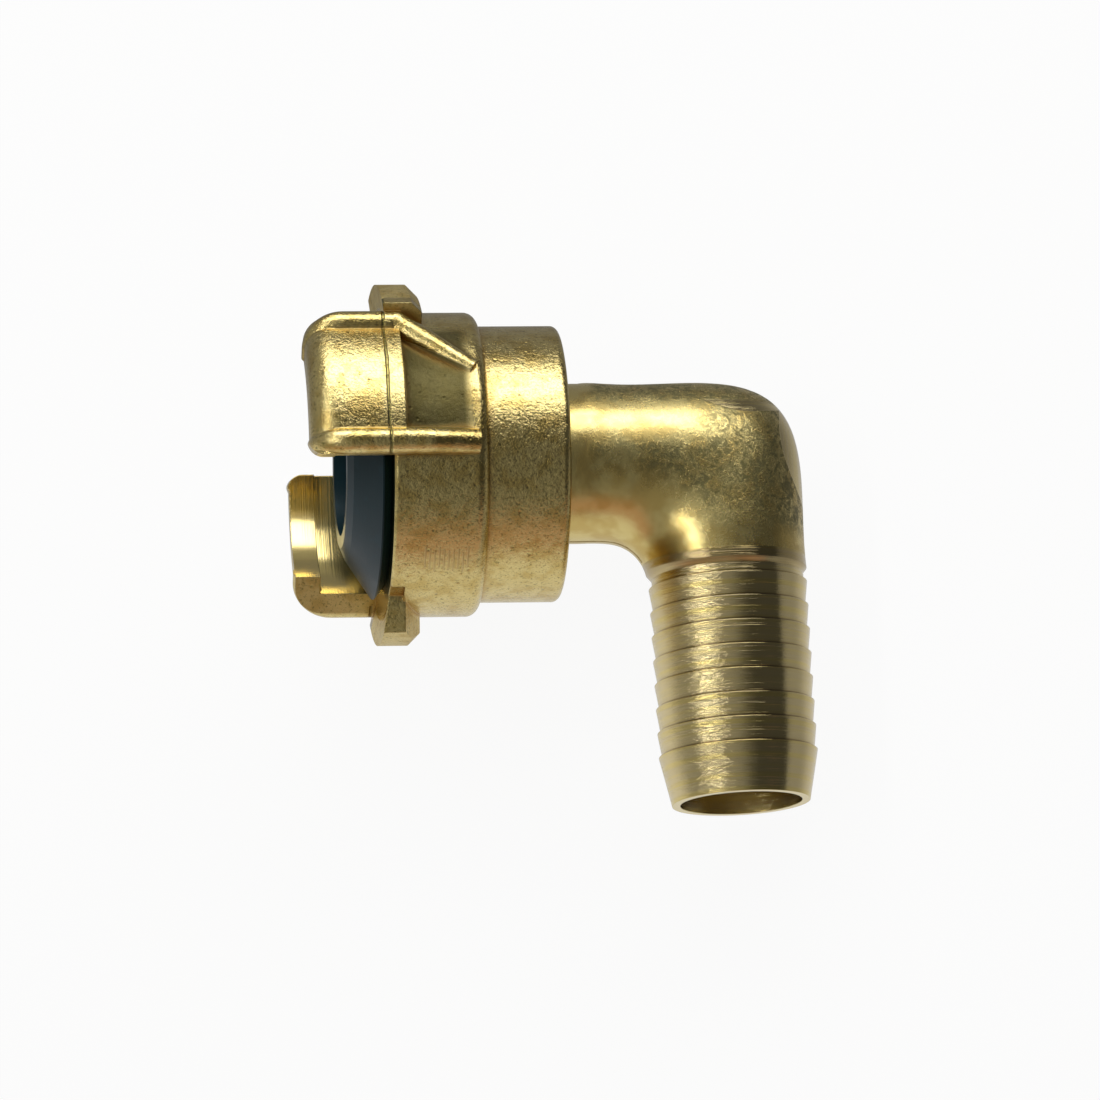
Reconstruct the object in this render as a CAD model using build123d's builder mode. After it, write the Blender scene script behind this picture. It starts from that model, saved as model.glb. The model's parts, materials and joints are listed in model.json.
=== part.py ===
from build123d import *
from math import acos, asin, atan2, cos, degrees, hypot, radians, sin, tan
import os

# Quick hose coupling half, 40 mm claw spacing, on a swivelling elbow with a 25 mm hose tail.
# Each piece is modelled in the coupling's own axes: the mating face lies at X = 0 and looks to -X,
# the swivel axis is the X axis, and the hose tail points down, along -Z.
# At the end every piece is laid on its side by the same placement, as the coupling rests on a table.
# Lengths are millimetres, angles are degrees.

# --- claw head: one forging ---
claw_spacing = 40.4            # clear diameter between the two hooked lips
claw_arc = 62.0                # angle that one claw covers round the axis
claw_reach = 13.6              # how far a claw stands in front of the mating face
claw_pocket_depth = 3.1        # undercut behind a lip
claw_lip = 4.2                 # thickness of a lip along the axis
claw_panel_radius = 26.9       # outside of a claw between its ribs
claw_corner = 4.6              # rounding from a claw's front to its outside
claw_side_rounding = 2.6       # rounding of the claw's front corner at its plain end, seen from outside
claw_root = 1.8                # how far the raised claw block runs back over the rim
rib_radius = 2.2               # half width of the rounded rib at each end of a claw
rib_crest = 28.6               # distance of a rib's crest from the axis
rib_corner = 6.6               # rounding of a rib's crest over the front corner
rib_proud = 0.3                # ribs stand this far before the claw's front face
rib_straight = 6.0             # where the plain end rib starts to sink into the rim
rib_sink = 1.6                 # how far the plain end rib has sunk at the rim's back
gusset_start = 1.5
gusset_end_radius = 1.6
gusset_end_sink = 1.1          # centre of its end below the rim's outside
gusset_knuckle = 0.06          # the ribs meet in a knuckle this much fuller than they are
gusset_turn = 21.0             # angle that the rib on the lug side swings back over the rim
hollow_depth = 1.0             # shallow hollow in the rim behind a claw, between its ribs
hollow_end = 14.2

rim_radius = 25.2
rim_length = 15.7
rim_rounding = 2.0
rim_mouth_chamfer = 0.4
collar_radius = 22.9
collar_length = 13.6
collar_rounding = 1.2
collar_fillet = 1.0

lug_radius = 29.9
lug_thickness = 6.6
lug_front = -0.8               # the lug's front face stands slightly before the mating face
lug_turn = 55.5                # from a claw's middle to the lug's middle direction
lug_half_width = 11.5          # from that direction to the lug's open end
lug_ramp_rise = 3.0            # how much thinner the lug is at its open end
lug_ramp_run = 7.0             # length of that lead-in
lug_overlap = 3.0              # how far a lug's inner end reaches into its claw
lug_chamfer = 1.8

lug_notch_depth = 0.9          # small undercut in the rim beside the lug's open end
lug_notch_reach = 3.6
lug_notch_length = 2.4

seal_seat_radius = 17.5
seal_seat_depth = 7.5
mouth_recess_radius = 20.3
mouth_recess_depth = 1.0
chamber_radius = 16.2
chamber_floor = 13.0           # the thrust face that the slide washer runs on
journal_radius = 12.55
journal_clearance = 0.05

# --- face seal: moulded rubber ---
seal_bore_radius = 11.6
seal_face_radius = 13.7
seal_reach = 6.8               # front of the seal before the mating face
seal_shoulder_radius = 15.9
seal_shoulder_drop = 0.9
seal_tip_radius = 22.2
seal_tip_reach = 1.7
seal_tip_flat = 0.25
seal_skirt_radius = 19.5
seal_skirt_depth = 0.5
seal_fit = 0.05

# --- elbow and hose tail: one forging, stem and tail turned ---
tail_offset = 56.6             # mating face to hose tail axis
elbow_angle = 91.5             # between the swivel axis and the hose tail
pipe_radius = 13.3
bend_inner_radius = 7.1        # fillet in the elbow's inner corner
bend_lead = 4.0                # straight stretch before and after the bend
bend_steps = 4                 # oval sections round the bend
stem_front = 8.6
stem_chamfer = 0.6
stem_bore_radius = 8.5
collar_mouth_radius = 13.7
collar_mouth_depth = 2.4

tail_length = 57.5             # swivel axis to the hose end
tail_turning_start = 16.9      # swivel axis to the first turned surface
tail_shoulder_radius = 14.6
tail_neck_start = 19.4
ridge_first = 21.0             # swivel axis to the first ridge's crest
ridge_count = 8
ridge_pitch = 4.05
ridge_crest_radius = 13.15
ridge_root_radius = 12.6
nose_radius = 11.45
tail_bore_radius = 10.1
nose_inner_chamfer = 0.4

# --- O-ring, slide washer and retaining ring on the stem ---
o_ring_place = 20.5
o_ring_section = 2.2
o_ring_clearance = 0.03
o_ring_groove_width = 3.0
washer_thickness = 1.0
washer_radius = 15.6
thrust_play = 0.1
ring_thickness = 1.5
ring_radius = 14.6
ring_groove_radius = 11.2
ring_groove_play = 0.05
ring_gap_angle = 40.0

# --- how the pieces stand to each other and on the table ---
head_turn = 157.5              # first claw's middle round the axis, from +Y towards +Z

claw_half_arc = claw_arc / 2
lip_radius = claw_spacing / 2
pocket_radius = lip_radius + claw_pocket_depth
collar_end = rim_length + collar_length
stem_radius = journal_radius - journal_clearance


def meridian(angle):
    """Plane through the swivel axis: local x runs back along it, local y points outwards at angle."""
    return Plane(
        origin=(0, 0, 0),
        x_dir=(1, 0, 0),
        z_dir=(0, -sin(radians(angle)), cos(radians(angle))),
    )


def around(radius, angle, along=0.0):
    """Point at a radius and angle about the swivel axis."""
    return (along, radius * cos(radians(angle)), radius * sin(radians(angle)))


# ---------------------------------------------------------------- claw head
def claw_block(middle):
    """Hook section swept round the axis, from the lip to the root on the rim."""
    with BuildPart() as block:
        with BuildSketch(meridian(middle - claw_half_arc)):
            with BuildLine():
                front = -claw_reach
                corner = claw_corner
                Line((front, lip_radius), (front, claw_panel_radius - corner))
                RadiusArc(
                    (front, claw_panel_radius - corner),
                    (front + corner, claw_panel_radius),
                    corner,
                )
                Polyline(
                    (front + corner, claw_panel_radius),
                    (claw_root, claw_panel_radius),
                    (claw_root, pocket_radius),
                    (front + claw_lip, pocket_radius),
                    (front + claw_lip, lip_radius),
                    (front, lip_radius),
                )
            make_face()
        revolve(axis=Axis.X, revolution_arc=claw_arc)
    return block


rib_line_radius = rib_crest - rib_radius
rib_offset = degrees(asin(rib_radius / rib_line_radius))
rib_front = rib_radius - claw_reach - rib_proud


def rib(angle, *back):
    """Rounded rib at a claw's end, in one meridian: over the front corner, then through the back points."""
    with BuildPart() as bead:
        with BuildLine(meridian(angle)) as path:
            FilletPolyline(
                (rib_front, lip_radius),
                (rib_front, rib_line_radius),
                *back,
                radius=rib_corner - rib_radius,
            )
        with BuildSketch(Plane(path.line @ 0, z_dir=path.line % 0)):
            Circle(rib_radius)
        sweep()
    return bead


def gusset_end(angle):
    """Where the gusset of the lug side's rib ends, at the rim's back edge."""
    return around(rim_radius - gusset_end_sink, angle + gusset_turn, rim_length - rim_rounding)


def gusset(angle):
    """Tapered rib that carries on from the lug side's rib and swings across to the rim's back edge."""
    start = Vector(*around(rib_line_radius, angle, gusset_start))
    end = Vector(*gusset_end(angle))
    with BuildPart() as brace:
        with BuildSketch(Plane(start, z_dir=end - start)):
            Circle(rib_radius)
        with BuildSketch(Plane(end, z_dir=end - start)):
            Circle(gusset_end_radius)
        loft()
        with Locations(start):
            Sphere(rib_radius + gusset_knuckle)
    return brace


def root_hollow(middle):
    """Cutter for the shallow hollow behind a claw, between its plain end rib and its gusset."""
    lug_end = middle - claw_half_arc + rib_offset
    start = Vector(*around(rib_line_radius, lug_end, gusset_start))
    end = Vector(*gusset_end(lug_end))
    half_length = (hollow_end - claw_root) / 2
    arc_radius = (half_length**2 + hollow_depth**2) / (2 * hollow_depth)
    with BuildPart() as cutter:
        with BuildSketch(meridian(lug_end)):
            with BuildLine():
                Polyline(
                    (hollow_end, rim_radius),
                    (hollow_end, lug_radius),
                    (claw_root, lug_radius),
                    (claw_root, rim_radius),
                )
                RadiusArc((claw_root, rim_radius), (hollow_end, rim_radius), -arc_radius)
            make_face()
        revolve(axis=Axis.X, revolution_arc=claw_arc - 2 * rib_offset)
        split(
            bisect_by=Plane(origin=start, x_dir=end - start, z_dir=(end - start).cross(start + end)),
            keep=Keep.TOP,
        )
    return cutter


def claw_sector(middle):
    """Wedge that holds one claw and its ribs between two flat end faces."""
    with BuildPart() as wedge:
        with BuildSketch(Plane.YZ.offset(-claw_reach - rib_radius)):
            with BuildLine():
                Polyline(
                    (0, 0),
                    around(2 * lug_radius, middle - claw_half_arc)[1:],
                    around(2 * lug_radius, middle + claw_half_arc)[1:],
                    (0, 0),
                )
            make_face()
        extrude(amount=claw_reach + rib_radius + rim_length)
    return wedge


def lug(middle):
    """Flange segment beside a claw, open at its far end, where its back is ramped to lead a hook in."""
    lug_middle = radians(middle - lug_turn)
    toward_claw = radians(lug_turn - claw_half_arc + lug_overlap)
    lug_back = lug_front + lug_thickness
    flange = Plane(origin=(lug_front, 0, 0), x_dir=(0, sin(lug_middle), -cos(lug_middle)), z_dir=(1, 0, 0))
    with BuildPart() as segment:
        with BuildSketch(Plane.XY):
            with BuildLine():
                Polyline(
                    (0, pocket_radius),
                    (0, rim_radius - rim_mouth_chamfer),
                    (lug_front, lug_radius),
                    (lug_back - lug_chamfer, lug_radius),
                    (lug_back, lug_radius - lug_chamfer),
                    (lug_back, pocket_radius),
                    (0, pocket_radius),
                )
            make_face()
        revolve(axis=Axis.X)
        with BuildSketch(flange):
            with BuildLine():
                Polyline(
                    (0, 0),
                    (-2 * lug_radius * sin(toward_claw), 2 * lug_radius * cos(toward_claw)),
                    (lug_half_width, 2 * lug_radius),
                    (lug_half_width, 0),
                    (0, 0),
                )
            make_face()
        extrude(amount=lug_thickness, mode=Mode.INTERSECT)
        split(
            bisect_by=Plane(
                origin=flange.from_local_coords((lug_half_width, 0, lug_thickness - lug_ramp_rise)),
                x_dir=flange.x_dir * lug_ramp_run - flange.z_dir * lug_ramp_rise,
                z_dir=flange.x_dir * lug_ramp_rise + flange.z_dir * lug_ramp_run,
            ),
            keep=Keep.BOTTOM,
        )
    return segment


def plain_end_corner(middle):
    """Cutter, pointing outwards, that rounds a claw's front corner at its plain end."""
    end = middle + claw_half_arc
    front = -claw_reach - rib_proud
    outward = Vector(*around(1, end))
    corner = Plane(origin=around(pocket_radius / 2, end), x_dir=(1, 0, 0), z_dir=outward)
    with BuildPart() as cutter:
        with BuildSketch(corner):
            with Locations((front, 0)):
                Rectangle(2 * claw_side_rounding, 2 * claw_side_rounding)
            with Locations((front + claw_side_rounding, claw_side_rounding)):
                Circle(claw_side_rounding, mode=Mode.SUBTRACT)
            with Locations((front + 2 * claw_side_rounding, 0), (front, 2 * claw_side_rounding)):
                Rectangle(2 * claw_side_rounding, 2 * claw_side_rounding, mode=Mode.SUBTRACT)
        extrude(amount=lug_radius)
    return cutter


def lug_notch(middle):
    """Cutter for the small undercut in the rim beside a lug's open end."""
    lug_middle = radians(middle - lug_turn)
    beside = (rim_radius**2 - lug_half_width**2) ** 0.5
    slope = Plane(
        origin=(lug_front, 0, 0),
        x_dir=(0, sin(lug_middle), -cos(lug_middle)),
        z_dir=(1, 0, 0),
    )
    drop = lug_notch_reach * lug_half_width / beside
    with BuildPart() as cutter:
        with BuildSketch(slope):
            with BuildLine():
                Polyline(
                    (lug_half_width, beside - lug_notch_depth),
                    (lug_half_width, beside + lug_notch_depth),
                    (lug_half_width + lug_notch_reach, beside - drop + lug_notch_depth),
                    (lug_half_width + lug_notch_reach, beside - drop - lug_notch_depth),
                    close=True,
                )
            make_face()
        extrude(amount=lug_notch_length - lug_front)
    return cutter


def claw(middle):
    """One claw with its end ribs, its gusset and the lug beside it."""
    plain_end = middle + claw_half_arc - rib_offset
    lug_end = middle - claw_half_arc + rib_offset
    with BuildPart() as hook:
        add(claw_block(middle))
        add(rib(
            plain_end,
            (rib_straight, rib_line_radius),
            (rim_length - rim_rounding, rib_line_radius - rib_sink),
        ))
        add(rib(lug_end, (gusset_start, rib_line_radius)))
        add(claw_sector(middle), mode=Mode.INTERSECT)
        add(plain_end_corner(middle), mode=Mode.SUBTRACT)
        add(gusset(lug_end))
        add(lug(middle))
    return hook


with BuildPart() as claw_head:
    with BuildSketch(Plane.XY):
        with BuildLine():
            Polyline(
                (0, mouth_recess_radius),
                (0, rim_radius - rim_mouth_chamfer),
                (rim_mouth_chamfer, rim_radius),
                (rim_length - rim_rounding, rim_radius),
            )
            RadiusArc(
                (rim_length - rim_rounding, rim_radius),
                (rim_length, rim_radius - rim_rounding),
                rim_rounding,
            )
            Polyline(
                (rim_length, rim_radius - rim_rounding),
                (rim_length, collar_radius),
                (collar_end - collar_rounding, collar_radius),
            )
            RadiusArc(
                (collar_end - collar_rounding, collar_radius),
                (collar_end, collar_radius - collar_rounding),
                collar_rounding,
            )
            Polyline(
                (collar_end, collar_radius - collar_rounding),
                (collar_end, collar_mouth_radius),
                (collar_end - collar_mouth_depth, collar_mouth_radius),
                (collar_end - collar_mouth_depth, journal_radius),
                (chamber_floor, journal_radius),
                (chamber_floor, chamber_radius),
                (seal_seat_depth, chamber_radius),
                (seal_seat_depth, seal_seat_radius),
                (mouth_recess_depth, seal_seat_radius),
                (mouth_recess_depth, mouth_recess_radius),
                (0, mouth_recess_radius),
            )
        make_face()
    revolve(axis=Axis.X)
    for other_side in (0, 180):
        add(root_hollow(head_turn + other_side), mode=Mode.SUBTRACT)
        add(claw(head_turn + other_side))
        add(lug_notch(head_turn + other_side), mode=Mode.SUBTRACT)
claw_head.part.label = "claw_head"

# ---------------------------------------------------------------- face seal
seal_foot_radius = seal_seat_radius - seal_fit
with BuildPart() as face_seal:
    with BuildSketch(Plane.XY):
        with BuildLine():
            Polyline(
                (-seal_reach, seal_bore_radius),
                (-seal_reach, seal_face_radius),
                (seal_shoulder_drop - seal_reach, seal_shoulder_radius),
                (-seal_tip_reach, seal_tip_radius),
                (seal_tip_flat - seal_tip_reach, seal_tip_radius),
                (seal_skirt_depth, seal_skirt_radius),
                (mouth_recess_depth, seal_foot_radius),
                (seal_seat_depth, seal_foot_radius),
                (seal_seat_depth, seal_bore_radius),
                (-seal_reach, seal_bore_radius),
            )
        make_face()
    revolve(axis=Axis.X)
face_seal.part.label = "face_seal"

# ---------------------------------------------------------------- elbow and hose tail
tail_lean = radians(elbow_angle - 90)
tail_direction = (sin(tail_lean), 0, -cos(tail_lean))
# local x points across the tail, local y points back up the tail towards the swivel axis
tail_plane = Plane(origin=(tail_offset, 0, 0), x_dir=(cos(tail_lean), 0, sin(tail_lean)), z_dir=(0, -1, 0))
tail_axis = Axis(origin=(tail_offset, 0, 0), direction=tail_direction)

stem_shoulder = collar_end - collar_mouth_depth + thrust_play
washer_front = chamber_floor - thrust_play - washer_thickness
ring_front = washer_front - ring_thickness
o_ring_outer_radius = journal_radius - o_ring_clearance
o_ring_groove_radius = o_ring_outer_radius - o_ring_section
o_ring_groove_front = o_ring_place - o_ring_groove_width / 2
o_ring_groove_back = o_ring_place + o_ring_groove_width / 2

# The bend's sections fan out about the centre of the inner corner's rounding.
bend_turn = radians(180 - elbow_angle)
centre_line_radius = bend_inner_radius + pipe_radius
tangent_length = centre_line_radius * tan(bend_turn / 2)
bend_start = tail_offset - tangent_length


def outer_reach(turn):
    """From the inner corner's centre to the elbow's outside: two straight backs and a rounded heel."""
    back = centre_line_radius + pipe_radius
    heel_from = atan2(tangent_length, back)
    if turn <= heel_from:
        return back / cos(turn)
    if turn >= bend_turn - heel_from:
        return back / cos(bend_turn - turn)
    to_heel = hypot(tangent_length, centre_line_radius)
    off_line = turn - atan2(tangent_length, centre_line_radius)
    return to_heel * cos(off_line) + (pipe_radius**2 - (to_heel * sin(off_line)) ** 2) ** 0.5


def bend_section(turn, lead=0.0):
    """Plane and long half axis of the oval section at one turn of the bend, or before or after it."""
    outward = Vector(sin(turn), 0, cos(turn))
    along = Vector(cos(turn), 0, -sin(turn))
    half_height = (outer_reach(turn) - bend_inner_radius) / 2
    centre = Vector(bend_start, 0, -centre_line_radius) + outward * (bend_inner_radius + half_height)
    return Plane(origin=centre + along * lead, x_dir=outward, z_dir=along), half_height


bend_sections = [bend_section(0, -bend_lead)]
bend_sections += [bend_section(bend_turn * step / bend_steps) for step in range(bend_steps + 1)]
bend_sections += [bend_section(bend_turn, bend_lead)]
bend_end = bend_sections[-1][0].origin

turned_outline = [(tail_shoulder_radius, -tail_turning_start), (ridge_root_radius, -tail_neck_start)]
for ridge in range(ridge_count):
    crest = ridge_first + ridge * ridge_pitch
    turned_outline.append((ridge_root_radius, -crest))
    turned_outline.append((ridge_crest_radius, -crest))
turned_outline.append((nose_radius, -tail_length))
swarf_radius = 2 * pipe_radius
turned_outline.append((swarf_radius, -tail_length))
turned_outline.append((swarf_radius, -tail_turning_start))

with BuildPart() as elbow_hose_tail:
    # forged body: a straight pipe, a bend lofted through oval sections, and the raw hose tail
    with BuildSketch(Plane.YZ.offset(stem_shoulder)):
        Circle(pipe_radius)
    extrude(amount=bend_start - bend_lead - stem_shoulder)
    for section in bend_sections:
        with BuildSketch(section[0]):
            Ellipse(section[1], pipe_radius)
    loft()
    with BuildSketch(Plane(origin=bend_end, z_dir=tail_direction)):
        Circle(pipe_radius)
    extrude(amount=tail_length - tangent_length - bend_lead)
    # turned outside of the hose tail
    with BuildSketch(tail_plane):
        with BuildLine():
            Polyline(*turned_outline, close=True)
        make_face()
    revolve(axis=tail_axis, mode=Mode.SUBTRACT)
    # turned stem with its two grooves
    with BuildSketch(Plane.XY):
        with BuildLine():
            Polyline(
                (stem_front, 0),
                (stem_front, stem_radius - stem_chamfer),
                (stem_front + stem_chamfer, stem_radius),
                (ring_front - ring_groove_play, stem_radius),
                (ring_front - ring_groove_play, ring_groove_radius),
                (washer_front + ring_groove_play, ring_groove_radius),
                (washer_front + ring_groove_play, stem_radius),
                (o_ring_groove_front, stem_radius),
                (o_ring_groove_front, o_ring_groove_radius),
                (o_ring_groove_back, o_ring_groove_radius),
                (o_ring_groove_back, stem_radius),
                (stem_shoulder + pipe_radius / 2, stem_radius),
                (stem_shoulder + pipe_radius / 2, 0),
                (stem_front, 0),
            )
        make_face()
    revolve(axis=Axis.X)
    # drilled waterway
    with BuildSketch(Plane.YZ.offset(stem_front)):
        Circle(stem_bore_radius)
    extrude(amount=tail_offset - stem_front, mode=Mode.SUBTRACT)
    with Locations((tail_offset, 0, 0)):
        Sphere(tail_bore_radius, mode=Mode.SUBTRACT)
    with BuildSketch(Plane(origin=(tail_offset, 0, 0), z_dir=tail_direction)):
        Circle(tail_bore_radius)
    extrude(amount=tail_length, mode=Mode.SUBTRACT)
elbow_hose_tail.part.label = "elbow_hose_tail"

# ---------------------------------------------------------------- rings on the stem
with BuildPart() as stem_o_ring:
    with BuildSketch(Plane.XY):
        with Locations((o_ring_place, o_ring_outer_radius - o_ring_section / 2)):
            Circle(o_ring_section / 2)
    revolve(axis=Axis.X)
stem_o_ring.part.label = "stem_o_ring"

with BuildPart() as slide_washer:
    with BuildSketch(Plane.YZ.offset(washer_front)):
        Circle(washer_radius)
        Circle(journal_radius, mode=Mode.SUBTRACT)
    extrude(amount=washer_thickness)
slide_washer.part.label = "slide_washer"

with BuildPart() as retaining_ring:
    with BuildSketch(meridian(ring_gap_angle / 2)):
        with BuildLine():
            Polyline(
                (ring_front, ring_groove_radius + ring_groove_play),
                (washer_front, ring_groove_radius + ring_groove_play),
                (washer_front, ring_radius),
                (ring_front, ring_radius),
                close=True,
            )
        make_face()
    revolve(axis=Axis.X, revolution_arc=360 - ring_gap_angle)
retaining_ring.part.label = "retaining_ring"

# ---------------------------------------------------------------- rest on the table
# The coupling lies on its side, on the edge of the collar and along the elbow and hose tail, so the
# swivel axis slopes down to the back. Two rounded edges share that table line: the collar's edge and
# the elbow's pipe, whose centres stand apart by these two distances.
along_axis = tail_offset - (collar_end - collar_rounding)
across_axis = collar_radius - collar_rounding
lean_back = degrees(acos((pipe_radius - collar_rounding) / hypot(along_axis, across_axis))) - degrees(
    atan2(along_axis, across_axis)
)
pieces = (claw_head, face_seal, elbow_hose_tail, stem_o_ring, slide_washer, retaining_ring)
lying = Location((0, 0, 0), (0, 1, 0), lean_back) * Location((0, 0, 0), (1, 0, 0), -90)
for piece in pieces:
    piece.part.move(lying)
outline_box = Compound([piece.part for piece in pieces]).bounding_box()
to_table = Location((-outline_box.center().X, -outline_box.center().Y, -outline_box.min.Z))
for piece in pieces:
    piece.part.move(to_table)

os.makedirs("parts", exist_ok=True)
export_step(claw_head.part, "parts/claw_head.step")
export_step(face_seal.part, "parts/face_seal.step")
export_step(elbow_hose_tail.part, "parts/elbow_hose_tail.step")
export_step(stem_o_ring.part, "parts/stem_o_ring.step")
export_step(slide_washer.part, "parts/slide_washer.step")
export_step(retaining_ring.part, "parts/retaining_ring.step")
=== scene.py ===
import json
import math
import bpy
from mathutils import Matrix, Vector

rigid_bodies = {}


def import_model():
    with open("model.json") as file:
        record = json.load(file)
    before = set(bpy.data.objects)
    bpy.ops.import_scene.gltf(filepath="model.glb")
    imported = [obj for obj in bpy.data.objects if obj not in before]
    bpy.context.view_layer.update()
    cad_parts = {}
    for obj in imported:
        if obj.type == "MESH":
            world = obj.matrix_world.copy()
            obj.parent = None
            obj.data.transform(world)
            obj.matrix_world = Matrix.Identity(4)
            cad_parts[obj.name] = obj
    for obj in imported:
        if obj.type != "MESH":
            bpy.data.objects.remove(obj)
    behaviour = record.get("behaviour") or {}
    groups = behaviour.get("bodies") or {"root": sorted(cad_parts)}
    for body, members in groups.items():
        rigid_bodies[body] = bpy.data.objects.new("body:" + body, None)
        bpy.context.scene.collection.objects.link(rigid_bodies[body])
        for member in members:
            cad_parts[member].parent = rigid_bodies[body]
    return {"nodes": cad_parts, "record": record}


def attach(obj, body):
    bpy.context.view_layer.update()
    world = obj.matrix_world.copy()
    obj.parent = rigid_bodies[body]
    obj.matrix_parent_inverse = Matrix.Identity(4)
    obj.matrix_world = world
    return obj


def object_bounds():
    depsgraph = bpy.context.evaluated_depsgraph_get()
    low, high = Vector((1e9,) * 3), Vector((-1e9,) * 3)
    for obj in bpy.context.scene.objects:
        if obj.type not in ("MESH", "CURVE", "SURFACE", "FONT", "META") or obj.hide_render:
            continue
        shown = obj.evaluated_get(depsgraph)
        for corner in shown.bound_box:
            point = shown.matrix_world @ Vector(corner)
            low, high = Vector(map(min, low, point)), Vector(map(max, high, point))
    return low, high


bl_info = {
    "name": "Swivel Claw Coupling",
    "version": (1, 0, 0),
    "blender": (4, 5, 0),
    "location": "View3D > Sidebar > Coupling",
    "description": "Finishes, lights and views a brass claw coupling half on a swivelling elbow",
    "category": "Object",
}

import bpy
from bpy.props import FloatProperty, FloatVectorProperty, IntProperty, PointerProperty
from mathutils import Matrix, Vector

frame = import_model()
cad_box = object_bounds()
MM = 0.001


# ---------------------------------------------------------------- the coupling's own axes
def mount(name):
    """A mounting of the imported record, by name."""
    return next(m for m in frame["record"]["mounts"] if m["name"] == name)


mating_face = Vector(mount("claw_face")["pos_m"])
swivel = -Vector(mount("claw_face")["axis"]).normalized()
tail = Vector(mount("hose_tail")["axis"]).normalized()
hose_end = Vector(mount("hose_tail")["pos_m"])
above = -(tail - tail.project(swivel)).normalized()
# rows: back along the swivel, sideways into the table, away from the hose tail
coupling_basis = Matrix((swivel, above.cross(swivel), above))
# rows: away from the claws, sideways into the table, down the hose tail
across = coupling_basis.row[1].cross(tail).normalized()
tail_basis = Matrix((across, coupling_basis.row[1], tail))


def on_coupling(x, y, z):
    """Table frame point, in metres, of a place in the coupling's own axes, in millimetres."""
    return mating_face + coupling_basis.transposed() @ Vector((x, y, z)) * MM


# swivel axis to the tail's open end, in metres, and mating face to the tail, in millimetres
tail_length = (coupling_basis @ (hose_end - mating_face)).z / (coupling_basis @ tail).z
tail_root = hose_end - tail * tail_length
tail_offset = (coupling_basis @ (tail_root - mating_face)).x / MM


# ---------------------------------------------------------------- node materials
class Nodes:
    """A node tree, and short ways to add its nodes. Underscores in names of sockets stand for spaces."""

    def __init__(self, tree):
        self.tree = tree

    def join(self, source, socket):
        """Links a source to a socket, or sets the socket to a plain number, colour or data block."""
        if isinstance(source, bpy.types.NodeSocket):
            self.tree.links.new(source, socket)
        elif source is not None:
            socket.default_value = source

    def node(self, kind, settings=None, **inputs):
        """Adds a node, feeds its enabled inputs by name and returns it."""
        node = self.tree.nodes.new(kind)
        for name, value in (settings or {}).items():
            setattr(node, name, value)
        for name, value in inputs.items():
            self.join(value, next(s for s in node.inputs if s.name == name.replace("_", " ") and s.enabled))
        return node

    def calc(self, operation, a, b=None, c=None):
        """One step of arithmetic."""
        node = self.node("ShaderNodeMath", {"operation": operation})
        for value, socket in zip((a, b, c), node.inputs):
            self.join(value, socket)
        return node.outputs[0]

    def times(self, a, b):
        """a times b."""
        return self.calc("MULTIPLY", a, b)

    def plus(self, a, b):
        """a plus b."""
        return self.calc("ADD", a, b)

    def minus(self, a, b):
        """a minus b."""
        return self.calc("SUBTRACT", a, b)

    def over(self, a, b):
        """a divided by b."""
        return self.calc("DIVIDE", a, b)

    def most(self, a, b):
        """The larger of a and b."""
        return self.calc("MAXIMUM", a, b)

    def scaled(self, a, factor, shift):
        """a times factor, plus shift."""
        return self.calc("MULTIPLY_ADD", a, factor, shift)

    def magnitude(self, a):
        """a without its sign."""
        return self.calc("ABSOLUTE", a)

    def parts(self, vector):
        """The three numbers of a vector."""
        return self.node("ShaderNodeSeparateXYZ", Vector=vector).outputs

    def vector(self, x=0.0, y=0.0, z=0.0):
        """A vector of three numbers."""
        return self.node("ShaderNodeCombineXYZ", X=x, Y=y, Z=z).outputs[0]

    def rise(self, value, start, end, low=0.0, high=1.0):
        """A soft step from low at start to high at end."""
        node = self.node(
            "ShaderNodeMapRange",
            {"interpolation_type": "SMOOTHSTEP"},
            Value=value, From_Min=start, From_Max=end, To_Min=low, To_Max=high,
        )
        return node.outputs["Result"]

    def mix(self, share, a, b):
        """Colour a where share is 0, b where it is 1."""
        node = self.node("ShaderNodeMix", {"data_type": "RGBA"})
        self.join(share, node.inputs["Factor"])
        for value, socket in ((a, node.inputs[6]), (b, node.inputs[7])):
            self.join((*value, 1) if isinstance(value, tuple) else value, socket)
        return node.outputs[2]

    def surfaces(self, share, a, b):
        """Surface a where share is 0, b where it is 1."""
        node = self.node("ShaderNodeMixShader", Fac=share)
        for surface, socket in ((a, node.inputs[1]), (b, node.inputs[2])):
            self.join(surface.outputs[0], socket)
        return node


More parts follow.
